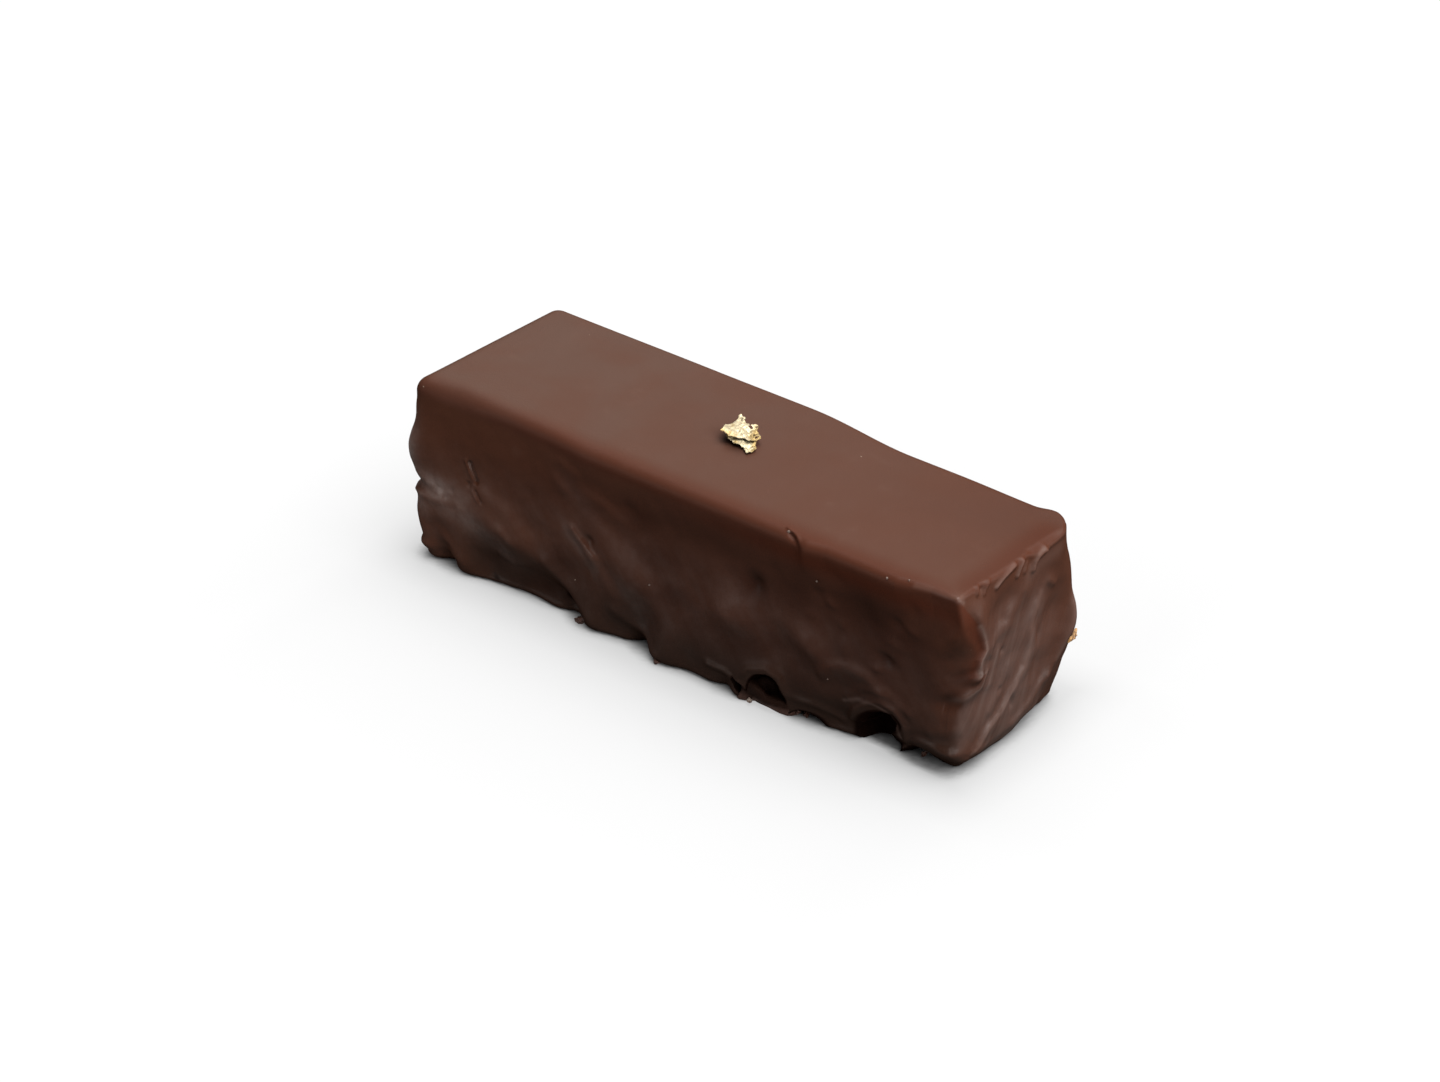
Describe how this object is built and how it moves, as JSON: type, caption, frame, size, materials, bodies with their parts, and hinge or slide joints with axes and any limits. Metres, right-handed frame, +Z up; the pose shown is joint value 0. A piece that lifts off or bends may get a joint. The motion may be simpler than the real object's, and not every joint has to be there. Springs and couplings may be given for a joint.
{
  "type": "cookie bar",
  "caption": "Rectangular pastry bar under a poured dark chocolate coat, with soft runs, lips at the base and a crumpled flake of gold leaf on top; food to set out and serve",
  "frame": {"origin": "centre of the footprint, on the flat underside", "axes": "+X along the bar's length towards the end with the upright corner that the picture shows, +Y away from the plain long side that the picture shows, +Z up"},
  "size_m": [0.1166, 0.0396, 0.0365],
  "materials": {
    "dark_chocolate": "set dark chocolate coat, satin",
    "gold": "crumpled leaf, bright"
  },
  "bodies": {
    "root": {"coated_bar": "dark_chocolate", "gold_leaf": "gold"}
  },
  "joints": []
}
